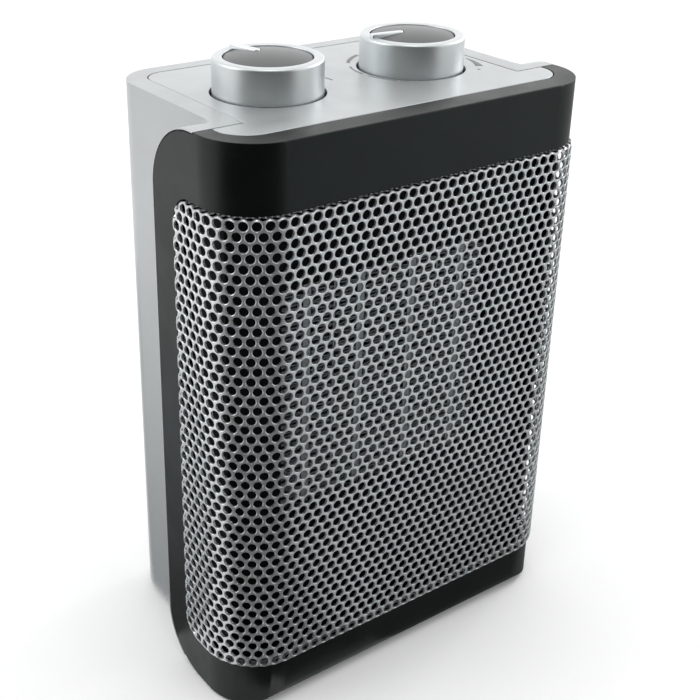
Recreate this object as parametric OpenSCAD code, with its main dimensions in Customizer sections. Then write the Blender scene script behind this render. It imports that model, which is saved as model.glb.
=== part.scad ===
// Ceramic space heater: a free-standing fan heater with a wrap-round perforated
// front, two control knobs on top and a ceramic heating element behind the grille.
// Millimetres. +Z is up, the perforated front looks along -Y.
// Sub-parts are drawn with y counted as depth behind the frame's front face,
// and placed() moves them so that the origin is at the bottom centre.

/* [Body] */
// Width over the black front frame
frame_w = 165; // [160:1:170]
// Height of the flat top above the floor
top_z = 230; // [226:1:236]
// Depth from the frame's front face to the rear wall
body_d = 103.6; // [102:0.2:110]
// Depth of the frame's side strips
frame_d = 51.7; // [51:0.1:53]
// Height of the frame's underside above the floor
frame_z = 0.9; // [0.5:0.1:1.5]
// Wall thickness of the mouldings
wall = 2.4; // [2:0.1:2.6]
// Radius of the vertical front corners
corner_r = 21.9; // [20:0.1:23]
// Radius where the side strip turns over at the rear top
strip_r = 25.1; // [24:0.1:25.5]
// Radius of the side strip at the rear bottom
heel_r = 21.7; // [20:0.1:22]
// Radius of the front bottom edge
toe_r = 6.6; // [5:0.1:8]

/* [Rear shell] */
// Width of the silver rear shell
shell_w = 142; // [141:1:145]
// Radius of the vertical rear corners
shell_r = 16.8; // [14:0.1:18]
// Height of the shell's lower edge above the floor
shell_z = 3.5; // [3:0.1:4.5]
// Depth at which the shell meets the frame on top
seam_d = 24; // [23.5:0.1:24.5]
// Visible gap between separate covers
seam_gap = 0.4; // [0.3:0.05:0.5]

/* [Top plate] */
// Width of the plate's front ears
ear_w = 150; // [148:1:151]
// Width of the plate's rear part
plate_w = 124.8; // [124:0.1:128]
// Depth of the plate's rear edge
plate_d = 96.4; // [95:0.1:97]
// Width of the black lip in front of the plate
lip_d = 10.4; // [10:0.1:11]

/* [Grille] */
// Lower edge of the grille opening
window_low = 19.6; // [19:0.1:21]
// Upper edge of the grille opening
window_high = 205.2; // [203:0.1:206]
// Depth to which the opening wraps round the sides
window_d = 38; // [37:0.1:39]
// Corner radius of the opening on the sides
window_r = 9.5; // [8:0.1:11]
// How far the sheet stands out of the frame
grille_proud = 1.3; // [1:0.1:1.5]
// Thickness of the grille sheet
sheet_t = 0.8; // [0.6:0.1:1]

/* [Knobs] */
// Distance between the two knobs
knob_pitch = 66.8; // [65:0.1:67]
// How far the pair of knobs sits to the right of the middle
knob_shift = -1; // [-1:0.1:1]
// Depth of the knobs' axes
knob_d = 52; // [51:0.1:53]
// Radius of a knob
knob_r = 20.3; // [19:0.1:20.5]
// Height of a knob's rim above the plate
knob_h = 13; // [12:0.1:14]
// Gap between a knob and its hole
knob_gap = 0.95; // [0.7:0.05:1.2]
// Where the selector's pointer stands, in degrees from +X
selector_angle = 102; // [90:1:110]
// Where the thermostat's pointer stands, in degrees from +X
thermostat_angle = 173; // [160:1:180]

/* [Heating element] */
// Depth of the element's front face
element_d = 21.3; // [21:0.1:22]
// Thickness of the element along the air stream
element_t = 15; // [14:0.5:16]
// Height of the element's centre above the floor
element_z = 119.6; // [118:0.1:121]
// Height of the finned area
fins_h = 95.2; // [94:0.1:96]
// Distance between heating bars
bar_pitch = 25; // [24.5:0.1:25]
// Width of a heating bar
bar_w = 3.4; // [3:0.1:3.6]
// Folds of fin in the element's height
fin_folds = 24; // [20:1:30]

/* [Fan] */
// Radius of the impeller
fan_r = 46; // [44:0.5:47]
// Number of blades
blades = 7; // [5:1:9]
// Depth at which the impeller starts
fan_d = 51; // [50.5:0.1:52]
// Length of the impeller along its axis
fan_t = 17; // [15:0.5:17]

/* [Hidden] */
$fn = 64;

front_y = grille_proud - (body_d + grille_proud) / 2;
past = 1; // how far a cut runs past a face
side_x = frame_w / 2;
inner_x = side_x - wall;
shell_x = shell_w / 2;
strip_top = top_z - 0.8; // the side strip turns over just below the flat top
flange_t = 0.5; // the shell steps out to the frame's sides in a thin flange
flange_fillet = 1.5;
sill_d = 30; // depth of the frame's floor
floor_x = shell_x - 1.5; // the floor runs on under the side strips
tongue = 2; // how far the shell's flange reaches inside the side strips
plate_r = 8.8;
ear_r = 12;
plate_z = top_z - wall;
ledge_t = 2;
ledge_w = 3;
hole_r = knob_r + knob_gap;
selector_x = knob_shift - knob_pitch / 2;
thermostat_x = knob_shift + knob_pitch / 2;
knobs_x = [selector_x, thermostat_x];

// fasteners
screw_r = 1.5;
screw_clear = 0.2;
pilot_clear = 0.03;
head_r = 2.9;
head_t = 1.8;
boss_r = 4;

// posts: width and height of those that run front to back, width and depth of
// those that stand on the base
post_start = 2.2;
post_end = 30;
head_d = 60;
shell_front = seam_d + seam_gap;
screw_posts = [for (x = [-55.5, 55.5]) for (z = [15, 217]) [x, z]];
baffle_posts = [for (x = [-30, 30]) for (z = [13, 217]) [x, z]];
base_posts = [for (x = [-64.5, 64.5]) for (d = [62, 90]) [x, d]];

// cord entry
gland_x = 0;
gland_z = 30;
gland_r = 6.5;
gland_bore = 3.8;

// feet
foot_r = 6;
front_foot = [55, 17];
rear_foot = [50, 92];
foot_recess = 1.2;

// element
fins_low = element_z - fins_h / 2;
fins_high = element_z + fins_h / 2;
divider_t = 0.6;
element_w = 4 * bar_pitch + divider_t;
holder_h = 8;
holder_wall = 1.6;
bars_x = [-1.5, -0.5, 0.5, 1.5] * bar_pitch;
terminals_x = [-bar_pitch, 0, bar_pitch];
bar_d = element_d + 0.5;
bar_t = element_t - 1;
bar_end = 5; // how far the bars run into the holders
bore_w = 2.2;
bore_t = bar_t - 1.6;

// inner baffle and the air duct behind it
baffle_d = 19;
baffle_t = 2;
baffle_w = 156;
fence_d = 13;
duct_w = element_w + 3.4;
duct_h = fins_h + 2 * holder_h + 2.8;
duct_end = 46.5;
duct_posts = [for (x = [-1, 1]) for (z = [-52, 52]) [x * (duct_w / 2 + 6), element_z + z]];

// fan
shroud_t = 2.5;
shroud_w = 128;
ring_r = fan_r + 2;
ring_t = 2;
hub_r = 15;
arm_d = 71.5;
arm_t = 2.3;
motor_d = arm_d + arm_t;
motor_l = 19;
motor_r = 17;
motor_wall = 1.6;
cap_t = 3;
shaft_r = 1.5;
bearing_r = 4;
bearing_clear = 0.03;
motor_screw_x = 11;

// controls
bracket_z = 214;
bracket_t = 1.2;
bracket_w = 98;
bracket_posts = [for (x = [-15, 15]) for (d = [-22, 22]) [x, knob_d + d]];
spindle_r = 3;
spindle_low = 200;
bush_r = 5;
bush_top = 222;
spindle_clear = 0.05;
rim_z = top_z + knob_h;
web_z = rim_z - 7;
web_t = 2;
rim_w = 3.9;
dome_r = knob_r - rim_w - 0.35;
dome_rise = 1.2;
dome_drop = 0.5;
finger_w = 2.8;
finger_rise = 1.4;
finger_in = 5.9;
finger_out = 18.6;

// rear opening
intake_w = 104;
intake_h = 120;
intake_r = 8;

// tip-over switch
tip_x = -30;
tip_d = 80;
plunger_r = 3.5;
plunger_clear = 0.05;
collar_r = 5.5;
collar_t = 1.5;
stem_r = 2;
travel = 5;
guide_z = 24;
guide_t = 1.6;
base_z = shell_z + 0.2;
base_t = 2.6;
base_top = base_z + base_t;
collar_z = base_top + travel;

// terminal block
terminal_x = 22;
terminal_pitch = 10;
pillar_h = 6;
terminal_z = base_top + 10;

// internal wiring: width, depth and height of the points that each wire bends through
wire_r = 1.2;
wire_sides = 8;
wire_steps = 4; // rings between two points
wire_side = [0.6, 0.5, -0.62]; // no wire runs along this direction
wire_routes = [
  // terminal block to thermostat
  [[32, 73, terminal_z], [32, 66, 17], [38, 62, 24], [50, 62, 25], [56, 62, 36], [57, 62, 110],
    [57, 63, 180], [54, 74, 197], [45, 87, 202], [35, 90, 203.6], [32.4, 82.2, 203.8]],
  // terminal block to motor
  [[12, 87, terminal_z], [12, 92, 17], [13, 95, 26], [13, 97, 60], [12, 98.5, 96], [8, 99.2, 108],
    [7, 99.2, 113], [7, 95.95, 113.2]],
  // selector to motor
  [[-45.4, 52, 188.8], [-45.7, 52, 183], [-49, 60, 176], [-50, 76, 166], [-44, 90, 148], [-22, 98, 123],
    [-10, 99.2, 117.5], [-7, 99.2, 116], [-7, 95.95, 115.8]],
  // selector to heating element
  [[-39.9, 52, 188.8], [-40.2, 52.5, 183], [-50, 53.5, 175], [-57, 54, 165], [-58, 56, 150], [-58, 56, 66],
    [-50, 50, 48], [-32, 38, 38], [-25.4, 29, 41], [-25, 28.5, 49.8]],
  // tip-over switch to terminal block
  [[-24, 80, 42.5], [-24, 79.5, 47], [-18, 66, 44], [-10, 61, 30], [0, 62, 20], [12, 66, terminal_z],
    [12, 73, terminal_z]],
  // tip-over switch to selector
  [[-36, 80, 42.5], [-36.5, 80, 47], [-56, 76, 60], [-61, 68, 90], [-61, 66, 150], [-57, 63, 172],
    [-46, 64, 182], [-36, 61, 181.5], [-34.4, 53, 183], [-34.4, 52, 188.8]],
];

// ---------------------------------------------------------------- helpers

module placed() {
  translate([0, front_y, 0])
    children();
}

// what rounding takes away from a square corner at the origin
module corner_waste(r) {
  difference() {
    translate([-past, -past])
      square(r + past);
    translate([r, r])
      circle(r);
  }
}

// rectangle with its own radius at each corner, anticlockwise from the origin
module tile(w, h, r) {
  difference() {
    square([w, h]);
    if (r[0] > 0)
      corner_waste(r[0]);
    if (r[1] > 0)
      translate([w, 0])
        mirror([1, 0])
          corner_waste(r[1]);
    if (r[2] > 0)
      translate([w, h])
        rotate(180)
          corner_waste(r[2]);
    if (r[3] > 0)
      translate([0, h])
        mirror([0, 1])
          corner_waste(r[3]);
  }
}

// extrude an outline drawn in depth and height across the width
module along_x(w) {
  translate([-w / 2, 0, 0])
    rotate([90, 0, 90])
      linear_extrude(w)
        children();
}

// extrude an outline drawn in width and height from depth d to depth d + l
module along_y(d, l) {
  translate([0, d + l, 0])
    rotate([90, 0, 0])
      linear_extrude(l)
        children();
}

module along_z(z, h) {
  translate([0, 0, z])
    linear_extrude(h)
      children();
}

module rod_y(x, d, z, r, l) {
  translate([x, d, z])
    rotate([-90, 0, 0])
      cylinder(h = l, r = r);
}

module rod_z(x, d, z, r, h) {
  translate([x, d, z])
    cylinder(h = h, r = r);
}

module tube_y(x, d, z, r, bore, l) {
  difference() {
    rod_y(x, d, z, r, l);
    rod_y(x, d - past, z, bore, l + 2 * past);
  }
}

module tube_z(x, d, z, r, bore, h) {
  difference() {
    rod_z(x, d, z, r, h);
    rod_z(x, d, z - past, bore, h + 2 * past);
  }
}

module both_sides() {
  children();
  mirror([1, 0, 0])
    children();
}

module block(x, d, z, size) {
  translate([x - size[0] / 2, d, z])
    cube(size);
}

// screw with a pan head: its tip at the origin, pointing down
module screw(l) {
  cylinder(h = l, r = screw_r);
  translate([0, 0, l])
    difference() {
      cylinder(h = head_t, r = head_r);
      translate([0, 0, head_t - 0.9])
        for (turn = [0, 90])
          rotate(turn)
            translate([-2, -0.4, 0])
              cube([4, 0.8, past + 0.9]);
    }
}

// ---------------------------------------------------------------- outlines

// plan of the frame, t inside its outer face and open at depth rear
module frame_plan(t, rear) {
  r = corner_r - t;
  translate([-side_x + t, t])
    tile(frame_w - 2 * t, rear - t, [r, r, 0, 0]);
}

// side view of the frame
module frame_side() {
  translate([0, frame_z])
    tile(frame_d, strip_top - frame_z, [toe_r, heel_r, strip_r, 0]);
  translate([0, strip_top - past])
    tile(seam_d, top_z - strip_top + past, [0, 0, 0, 0.6]);
}

// side view of the grille opening, t inside its edge
module window_side(t) {
  translate([-30, window_low + t])
    tile(30 + window_d - t, window_high - window_low - 2 * t, [0, window_r - t, window_r - t, 0]);
}

// plan of the T-shaped top plate, grown by t
module plate_plan(t) {
  translate([-ear_w / 2 - t, lip_d - t])
    tile(ear_w + 2 * t, seam_d - lip_d + t, [ear_r + t, ear_r + t, 0, 0]);
  translate([-plate_w / 2 - t, seam_d - past])
    tile(plate_w + 2 * t, plate_d - seam_d + past + t, [0, 0, plate_r + t, plate_r + t]);
}

// plan of the rear shell, t inside its outer face and starting at depth front
module shell_plan(t, front) {
  r = shell_r - t;
  translate([-shell_x + t, front])
    tile(shell_w - 2 * t, body_d - t - front, [0, 0, r, r]);
}

// ---------------------------------------------------------------- casing

module front_frame() {
  color([0.16, 0.17, 0.17])
  placed() {
    difference() {
      intersection() {
        along_z(0, top_z + past)
          frame_plan(0, frame_d);
        along_x(frame_w + 2 * past)
          frame_side();
      }
      along_z(frame_z + wall, top_z - frame_z - 2 * wall)
        frame_plan(wall, frame_d + past);
      block(0, seam_d, frame_z + wall, [2 * inner_x, frame_d, top_z]);
      block(0, sill_d, -past, [2 * floor_x, frame_d, 20]);
      along_x(frame_w + 2 * past)
        window_side(0);
      along_z(plate_z - past, wall + 2 * past)
        plate_plan(seam_gap);
      both_sides()
        rod_z(front_foot[0], front_foot[1], 0, foot_r + 0.1, frame_z + foot_recess);
    }
    // ledge under the top plate
    difference() {
      along_z(plate_z - ledge_t, ledge_t)
        frame_plan(wall / 2, seam_d);
      along_z(plate_z - ledge_t - past, ledge_t + 2 * past)
        plate_plan(-ledge_w);
    }
    for (p = screw_posts)
      tube_y(p[0], post_start, p[1], boss_r, screw_r + pilot_clear, post_end - post_start);
    for (p = baffle_posts)
      tube_y(p[0], post_start, p[1], boss_r, screw_r + pilot_clear, baffle_d - post_start);
  }
}

module front_grille() {
  color([0.72, 0.74, 0.74])
  placed()
    intersection() {
      difference() {
        along_z(window_low, window_high - window_low)
          frame_plan(-grille_proud, window_d);
        along_z(window_low - past, window_high - window_low + 2 * past)
          frame_plan(sheet_t - grille_proud, window_d + past);
      }
      along_x(frame_w + 4 * past)
        window_side(seam_gap);
    }
}

// the shell's flange, which follows the strip's rear edge: distance from that edge, then
// height above the shell's side, with a fillet between the two
module flange_section() {
  translate([-tongue, -wall / 2])
    square([tongue + seam_gap + flange_t, wall / 2 + inner_x - seam_gap - shell_x]);
  translate([seam_gap, 0]) {
    square([flange_t, side_x - shell_x]);
    translate([flange_t - past, -wall / 2])
      difference() {
        square([flange_fillet + past, flange_fillet + wall / 2]);
        translate([flange_fillet + past, flange_fillet + wall / 2])
          circle(flange_fillet);
      }
  }
}

module flange_bend(radius, start) {
  rotate([0, 90, 0])
    rotate(start)
      rotate_extrude(angle = 90)
        translate([radius, shell_x])
          flange_section();
}

module flange() {
  top_axis_z = strip_top - strip_r;
  heel_axis_z = frame_z + heel_r;
  translate([0, frame_d - strip_r, top_axis_z])
    flange_bend(strip_r, 90);
  translate([0, frame_d - heel_r, heel_axis_z])
    flange_bend(heel_r, 0);
  translate([shell_x, frame_d, heel_axis_z])
    linear_extrude(top_axis_z - heel_axis_z)
      mirror([1, -1])
        flange_section();
  // level run over the strip's top, towards the seam
  translate([shell_x, frame_d - strip_r, strip_top])
    rotate([90, 0, 0])
      linear_extrude(frame_d - strip_r - seam_d)
        mirror([1, -1])
          flange_section();
}

module rear_shell() {
  color([0.74, 0.76, 0.77])
  placed() {
    difference() {
      union() {
        difference() {
          along_z(shell_z, top_z - shell_z)
            shell_plan(0, shell_front);
          along_z(shell_z - past, top_z - wall - shell_z + past)
            shell_plan(wall, seam_d - past);
        }
        intersection() {
          both_sides()
            flange();
          block(0, shell_front, shell_z, [frame_w, body_d, top_z - shell_z]);
        }
        for (p = screw_posts)
          rod_y(p[0], post_end + 1, p[1], boss_r + 1, body_d - post_end - 1 - wall / 2);
        for (p = base_posts)
          rod_z(p[0], p[1], base_z + base_t, boss_r + 1, 14);
        // ledge under the top plate
        along_z(plate_z - ledge_t, ledge_t)
          difference() {
            shell_plan(wall / 2, shell_front);
            plate_plan(-ledge_w);
          }
      }
      along_z(plate_z, wall + past)
        plate_plan(seam_gap);
      // side walls stay behind the grille's wrap-round ends
      both_sides()
        translate([shell_x - wall - past, 0, window_low - 2])
          cube([wall + 2 * past, 50, window_high - window_low + 4]);
      // air intake and cord entry in the rear wall
      along_y(body_d - wall - past, wall + 2 * past)
        translate([-intake_w / 2, element_z - intake_h / 2])
          tile(intake_w, intake_h, [1, 1, 1, 1] * intake_r);
      rod_y(gland_x, body_d - wall - past, gland_z, gland_r + 0.1, wall + 2 * past);
      for (p = screw_posts) {
        rod_y(p[0], post_end, p[1], screw_r + screw_clear, body_d);
        rod_y(p[0], head_d, p[1], head_r + 0.5, body_d);
      }
      for (p = base_posts)
        rod_z(p[0], p[1], 0, screw_r + pilot_clear, 17);
    }
  }
}

module top_plate() {
  color([0.83, 0.84, 0.85])
  placed()
    difference() {
      along_z(plate_z, wall)
        plate_plan(0);
      for (x = knobs_x)
        rod_z(x, knob_d, plate_z - past, hole_r, wall + 2 * past);
    }
  // posts for the control bracket
  color([0.83, 0.84, 0.85])
  placed()
    for (p = bracket_posts)
      tube_z(p[0], p[1], bracket_z + bracket_t, boss_r - 0.5, screw_r + pilot_clear,
        plate_z + past - bracket_z - bracket_t);
}

module intake_grille() {
  slot_h = 4.2;
  slot_pitch = 7.4;
  rim = 0.3;
  slots = 14;
  color([0.15, 0.16, 0.16])
  placed() {
    difference() {
      along_y(body_d - wall, wall)
        translate([-intake_w / 2 + rim, element_z - intake_h / 2 + rim])
          tile(intake_w - 2 * rim, intake_h - 2 * rim, [1, 1, 1, 1] * (intake_r - rim));
      for (i = [0:slots - 1])
        both_sides()
          block(24.5, body_d - wall - past, element_z + (i - slots / 2 + 0.5) * slot_pitch - slot_h / 2,
            [43, wall + 2 * past, slot_h]);
    }
    // lugs that hook behind the rear wall
    for (z = [-40, 40])
      both_sides()
        block(intake_w / 2 - 1, body_d - wall - 2.1, element_z + z - 5, [6, 2, 10]);
    for (z = [-40, 40])
      both_sides()
        block(intake_w / 2 - 2.5, body_d - wall - 2.1, element_z + z - 5, [3, 3, 10]);
  }
}

module base_plate() {
  color([0.14, 0.15, 0.15])
  placed() {
    difference() {
      along_z(base_z, base_t)
        shell_plan(wall + 0.3, sill_d - 4);
      rod_z(tip_x, tip_d, 0, plunger_r + plunger_clear, 20);
      for (p = base_posts)
        rod_z(p[0], p[1], 0, screw_r + screw_clear, 20);
      both_sides()
        rod_z(rear_foot[0], rear_foot[1], 0, 2.45, 20);
    }
    // cradle of the tip-over switch
    for (side = [-1, 1])
      block(tip_x + side * 11.6, tip_d - 5, base_top, [2.4, 10, guide_z + guide_t + 12 - base_top]);
    difference() {
      block(tip_x, tip_d - 5, guide_z, [21, 10, guide_t]);
      rod_z(tip_x, tip_d, guide_z - past, stem_r + 0.1, guide_t + 2 * past);
    }
    // pillars under the terminal block
    for (x = [-12, 12])
      block(terminal_x + x, tip_d - 4, base_top, [5, 8, pillar_h]);
  }
}

module front_feet() {
  color([0.1, 0.1, 0.1])
  placed()
    both_sides()
      rod_z(front_foot[0], front_foot[1], 0, foot_r, frame_z + foot_recess);
}

module rear_feet() {
  color([0.1, 0.1, 0.1])
  placed()
    both_sides() {
      rod_z(rear_foot[0], rear_foot[1], 0, foot_r, base_z);
      rod_z(rear_foot[0], rear_foot[1], base_z - past, 2.4, base_t + 2.2 + past);
    }
}

module cord_gland() {
  color([0.12, 0.12, 0.12])
  placed()
    difference() {
      union() {
        rod_y(gland_x, body_d - 14, gland_z, gland_r, 14);
        rod_y(gland_x, body_d - wall - 2, gland_z, gland_r + 2.5, 2);
      }
      rod_y(gland_x, body_d - 14 - past, gland_z, gland_bore, 14 + 2 * past);
    }
}

module inner_baffle() {
  side_low = 14;
  side_high = 205;
  side_end = 47;
  color([0.09, 0.09, 0.09])
  placed() {
    difference() {
      union() {
        along_z(side_low, side_high - side_low)
          difference() {
            translate([-baffle_w / 2, baffle_d])
              tile(baffle_w, side_end - baffle_d, [6, 6, 0, 0]);
            translate([-baffle_w / 2 + baffle_t, baffle_d + baffle_t])
              tile(baffle_w - 2 * baffle_t, side_end, [4, 4, 0, 0]);
          }
        // fences that run forward beside the wrapped sheet
        for (x = [-1, 1])
          block(x * (baffle_w - baffle_t) / 2, fence_d, window_low + 4,
            [baffle_t, baffle_d - fence_d + 8, window_high - window_low - 8]);
        block(0, baffle_d, 8, [140, baffle_t, 214]);
        block(0, baffle_d + baffle_t / 2, element_z - duct_h / 2 - baffle_t,
          [duct_w + 2 * baffle_t, duct_end - baffle_d - baffle_t / 2, duct_h + 2 * baffle_t]);
        for (p = duct_posts)
          rod_y(p[0], duct_end - 16, p[1], boss_r + 0.5, 16);
      }
      block(0, baffle_d + baffle_t, element_z - duct_h / 2, [duct_w, duct_end, duct_h]);
      block(0, baffle_d - past, fins_low - 0.4, [element_w + 0.8, baffle_t + 2 * past, fins_h + 0.8]);
      for (p = duct_posts)
        rod_y(p[0], duct_end - 14, p[1], screw_r + pilot_clear, 16);
      for (p = screw_posts)
        rod_y(p[0], baffle_d - past, p[1], boss_r + 0.2, baffle_t + 2 * past);
      for (p = baffle_posts)
        rod_y(p[0], baffle_d - past, p[1], screw_r + screw_clear, baffle_t + 2 * past);
      for (x = terminals_x)
        block(x, element_d + 3, element_z - duct_h / 2 - baffle_t - past, [4, 9, baffle_t + 2 * past]);
    }
  }
}

// ---------------------------------------------------------------- heating element

module element_holder() {
  difference() {
    block(0, element_d, 0, [element_w + 2 * holder_wall, element_t, holder_h]);
    for (x = bars_x)
      block(x, bar_d - 0.05, -past, [bar_w + 0.1, bar_t + 0.1, bar_end + past + 0.1]);
  }
}

module element_holder_top() {
  color([0.2, 0.17, 0.14])
  placed()
    translate([0, 0, fins_high])
      element_holder();
}

module element_holder_bottom() {
  color([0.2, 0.17, 0.14])
  placed()
    difference() {
      translate([0, 0, fins_low])
        mirror([0, 0, 1])
          element_holder();
      for (x = terminals_x)
        block(x, element_d + 4, fins_low - holder_h - past, [0.9, 6.4, 5 + past]);
    }
}

module heating_bars() {
  color([0.78, 0.79, 0.8])
  placed()
    for (x = bars_x)
      difference() {
        block(x, bar_d, fins_low - bar_end, [bar_w, bar_t, fins_h + 2 * bar_end]);
        block(x, bar_d + (bar_t - bore_t) / 2, fins_low - bar_end - past,
          [bore_w, bore_t, fins_h + 2 * (bar_end + past)]);
      }
}

module ceramic_chips() {
  chips = 4;
  pitch = fins_h / chips;
  color([0.45, 0.4, 0.36])
  placed()
    for (x = bars_x)
      for (i = [0:chips - 1])
        block(x, bar_d + (bar_t - bore_t) / 2 + 0.2, fins_low + (i + 0.5) * pitch - 11,
          [bore_w - 0.1, bore_t - 0.4, 22]);
}

// one corrugated strip in width and height: a zigzag band of the given breadth
module fin_outline(w, band) {
  step = fins_h / (2 * fin_folds);
  near = [for (i = [0:2 * fin_folds]) [i % 2 == 0 ? 0 : w - band, i * step]];
  far = [for (i = [2 * fin_folds:-1:0]) [i % 2 == 0 ? band : w, i * step]];
  polygon(concat(near, far));
}

module heating_fins() {
  fin_w = (bar_pitch - bar_w - divider_t) / 2 - 0.1;
  band = 1.6;
  color([0.7, 0.7, 0.7])
  placed()
    for (x = bars_x)
      for (side = [-1, 1])
        translate([x + side * (bar_w / 2 + 0.05 + fin_w / 2) - fin_w / 2, 0, fins_low])
          along_y(bar_d, bar_t)
            fin_outline(fin_w, band);
}

module fin_dividers() {
  color([0.8, 0.8, 0.8])
  placed()
    for (i = [-2:2])
      block(i * bar_pitch, bar_d, fins_low, [divider_t, bar_t, fins_h]);
}

module element_terminals() {
  color([0.8, 0.68, 0.35])
  placed()
    for (x = terminals_x)
      block(x, element_d + 4.05, fins_low - holder_h - 14, [0.8, 6.3, 18.9]);
}

module thermal_cutout() {
  z = element_z + duct_h / 2 + baffle_t;
  color([0.85, 0.83, 0.78])
  placed() {
    rod_z(22, 34, z, 8, 1.5);
    rod_z(22, 34, z + 1, 6.5, 8);
    for (x = [-3.5, 3.5])
      block(22 + x, 31, z + 8.5, [0.8, 6, 8]);
  }
}

module thermal_fuse() {
  z = element_z + duct_h / 2 + baffle_t + 2;
  color([0.82, 0.72, 0.42])
  placed() {
    translate([-28, 34, z])
      rotate([0, 90, 0])
        cylinder(h = 12, r = 2);
    translate([-38, 34, z])
      rotate([0, 90, 0])
        cylinder(h = 32, r = 0.5);
  }
}

// ---------------------------------------------------------------- fan

module motor_holes(r, d, l) {
  for (x = [-motor_screw_x, motor_screw_x])
    rod_y(x, d, element_z, r, l);
}

module fan_shroud() {
  arm_w = 8;
  arm_l = 2 * ring_r + ring_t;
  ring_end = arm_d + arm_t;
  color([0.2, 0.21, 0.21])
  placed()
    difference() {
      union() {
        difference() {
          block(0, duct_end, element_z - shroud_w / 2, [shroud_w, shroud_t, shroud_w]);
          rod_y(0, duct_end - past, element_z, ring_r, shroud_t + 2 * past);
        }
        tube_y(0, duct_end + shroud_t / 2, element_z, ring_r + ring_t, ring_r,
          ring_end - duct_end - shroud_t / 2);
        for (turn = [45, 135])
          translate([0, 0, element_z])
            rotate([0, turn, 0])
              block(0, arm_d, -arm_w / 2, [arm_l, arm_t, arm_w]);
        rod_y(0, arm_d, element_z, motor_r + 2, arm_t);
      }
      rod_y(0, arm_d - past, element_z, bearing_r + 2.1, arm_t + 2 * past);
      motor_holes(screw_r + screw_clear, arm_d - past, arm_t + 2 * past);
      for (p = duct_posts)
        rod_y(p[0], duct_end - past, p[1], screw_r + screw_clear, shroud_t + 2 * past);
    }
}

module motor_can() {
  nose = 3;
  color([0.68, 0.69, 0.7])
  placed()
    difference() {
      union() {
        rod_y(0, motor_d, element_z, motor_r, motor_l);
        rod_y(0, motor_d - nose, element_z, bearing_r + 2, nose + past);
      }
      rod_y(0, motor_d + motor_wall, element_z, motor_r - motor_wall, motor_l);
      rod_y(0, motor_d - nose - past, element_z, bearing_r, nose + 4 * past);
      motor_holes(screw_r + pilot_clear, motor_d - past, motor_wall + 2 * past);
    }
}

module motor_magnets() {
  color([0.25, 0.25, 0.26])
  placed()
    difference() {
      tube_y(0, motor_d + 3, element_z, motor_r - motor_wall - 0.05, 13, 14);
      block(0, motor_d, element_z - motor_r, [8, motor_l, 2 * motor_r]);
    }
}

module motor_end_cap() {
  color([0.12, 0.12, 0.13])
  placed()
    difference() {
      union() {
        rod_y(0, motor_d + motor_l, element_z, motor_r, cap_t);
        rod_y(0, motor_d + motor_l - 2, element_z, motor_r - motor_wall - 0.1, 2 + past);
      }
      rod_y(0, motor_d + motor_l - 2 - past, element_z, bearing_r, cap_t + 2 * past + 0.5);
    }
}

module motor_bearings() {
  color([0.72, 0.55, 0.3])
  placed() {
    tube_y(0, motor_d - 3, element_z, bearing_r - 0.01, shaft_r + bearing_clear, 4.5);
    tube_y(0, motor_d + motor_l - 2, element_z, bearing_r - 0.01, shaft_r + bearing_clear, 3.4);
  }
}

module fan_impeller() {
  pitch_angle = 35;
  chord = 24;
  blade_t = 1.6;
  color([0.3, 0.31, 0.31])
  placed()
    difference() {
      union() {
        difference() {
          rod_y(0, fan_d, element_z, hub_r, fan_t - 1);
          rod_y(0, fan_d + 2, element_z, hub_r - 2, fan_t);
        }
        rod_y(0, fan_d + past, element_z, 4.5, fan_t - 2 * past);
        intersection() {
          tube_y(0, fan_d, element_z, fan_r, hub_r - 0.8, fan_t);
          for (i = [0:blades - 1])
            translate([0, fan_d + fan_t / 2, element_z])
              rotate([0, i * 360 / blades, 0])
                rotate([0, 0, pitch_angle])
                  translate([-chord / 2, -blade_t / 2, hub_r - 3])
                    cube([chord, blade_t, fan_r]);
        }
      }
      rod_y(0, fan_d + 2, element_z, shaft_r + 0.01, fan_t);
    }
}

module motor_shaft() {
  color([0.75, 0.76, 0.78])
  placed()
    rod_y(0, fan_d + 2.2, element_z, shaft_r, motor_d + motor_l + 1.2 - fan_d - 2.2);
}

module motor_rotor() {
  poles = 5;
  color([0.6, 0.42, 0.25])
  placed()
    difference() {
      union() {
        rod_y(0, motor_d + 4, element_z, 12, 11);
        rod_y(0, motor_d + 14, element_z, 3.2, 2.6);
      }
      for (i = [0:poles - 1])
        translate([0, 0, element_z])
          rotate([0, i * 360 / poles, 0])
            block(9, motor_d + 3, -1, [7, 13, 2]);
      rod_y(0, motor_d, element_z, shaft_r + 0.01, motor_l);
    }
}

// ---------------------------------------------------------------- controls

module control_bracket() {
  color([0.7, 0.71, 0.72])
  placed()
    difference() {
      block(0, knob_d - 26, bracket_z, [bracket_w, 52, bracket_t]);
      for (x = knobs_x) {
        rod_z(x, knob_d, bracket_z - past, bush_r + 0.1, 4);
        for (side = [-12, 12])
          rod_z(x + side, knob_d, bracket_z - past, screw_r + screw_clear, 4);
      }
      for (p = bracket_posts)
        rod_z(p[0], p[1], bracket_z - past, screw_r + screw_clear, 4);
      // cut-away between the two controls
      block(0, knob_d - 12, bracket_z - past, [24, 24, 4]);
    }
}

// body under the bracket with a bush for the spindle and two fixing holes
module control_body(x, size) {
  difference() {
    union() {
      block(x, knob_d - size[1] / 2, bracket_z - size[2], size);
      rod_z(x, knob_d, bracket_z - past, bush_r, bush_top - bracket_z + past);
    }
    rod_z(x, knob_d, spindle_low - past, spindle_r + spindle_clear, 40);
    for (side = [-12, 12])
      rod_z(x + side, knob_d, bracket_z - 7, screw_r + pilot_clear, 10);
  }
}

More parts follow.
